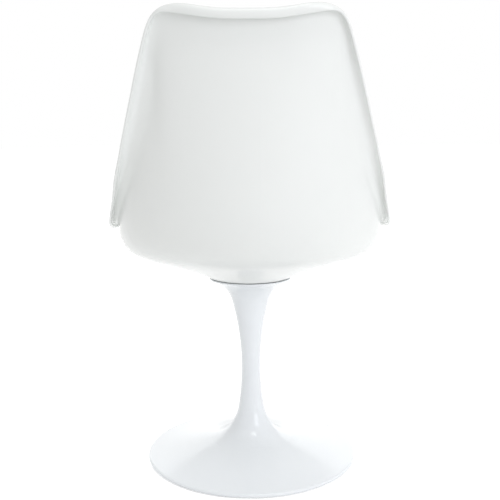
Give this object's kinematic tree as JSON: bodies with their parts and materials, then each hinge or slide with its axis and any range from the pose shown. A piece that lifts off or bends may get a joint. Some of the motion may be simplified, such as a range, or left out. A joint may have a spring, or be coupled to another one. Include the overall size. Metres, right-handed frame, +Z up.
{
  "type": "swivel dining chair",
  "caption": "Armless dining chair: white moulded bucket shell with a rolled lip and loose pad, swivelling on a round trumpet pedestal with a wide disc base.",
  "frame": {"origin": "on the floor, on the swivel axis in the middle of the round base", "axes": "+Z up along the swivel axis; the sitter faces -Y; +X is the sitter's left"},
  "size_m": [0.5176, 0.5344, 0.8025],
  "materials": {
    "pedestal_enamel": "gloss white enamel on cast aluminium",
    "floor_rubber": "soft white rubber",
    "nylon": "natural nylon",
    "felt": "pressed felt",
    "hardened_steel": "ground, greased",
    "cage_nylon": "moulded",
    "shell_plastic": "satin white moulded plastic",
    "brass": "turned, knurled outside",
    "plate_steel": "oiled",
    "zinc_steel": "zinc plated",
    "touch_fabric": "hook and loop",
    "foam": "cut polyurethane foam",
    "cover_vinyl": "white leather-look vinyl"
  },
  "bodies": {
    "pedestal": {"pedestal_base": "pedestal_enamel", "floor_ring": "floor_rubber", "upper_bushing": "nylon", "lower_bushing": "nylon", "dust_seal": "felt", "lower_race": "hardened_steel"},
    "bearing_cage": {"ball_cage": "cage_nylon", "bearing_balls": "hardened_steel"},
    "seat": {"seat_shell": "shell_plastic", "shell_inserts": "brass", "seat_plate": "plate_steel", "plate_screws": "zinc_steel", "screw_washers": "zinc_steel", "spindle": "plate_steel", "upper_race": "hardened_steel", "spindle_washer": "zinc_steel", "spindle_nut": "zinc_steel", "hook_disc": "touch_fabric", "loop_disc": "touch_fabric", "pad_foam": "foam", "pad_cover": "cover_vinyl", "pad_welt": "cover_vinyl"}
  },
  "joints": [
    {"name": "seat_swivel", "type": "hinge", "parent": "pedestal", "child": "seat", "pos_m": [0, 0, 0.35], "axis": [0, 0, 1], "continuous": true},
    {"name": "cage_roll", "type": "hinge", "parent": "pedestal", "child": "bearing_cage", "pos_m": [0, 0, 0.35], "axis": [0, 0, 1], "continuous": true}
  ],
  "couplings": [
    {"joint": "cage_roll", "follows": "seat_swivel", "ratio": 0.5}
  ]
}
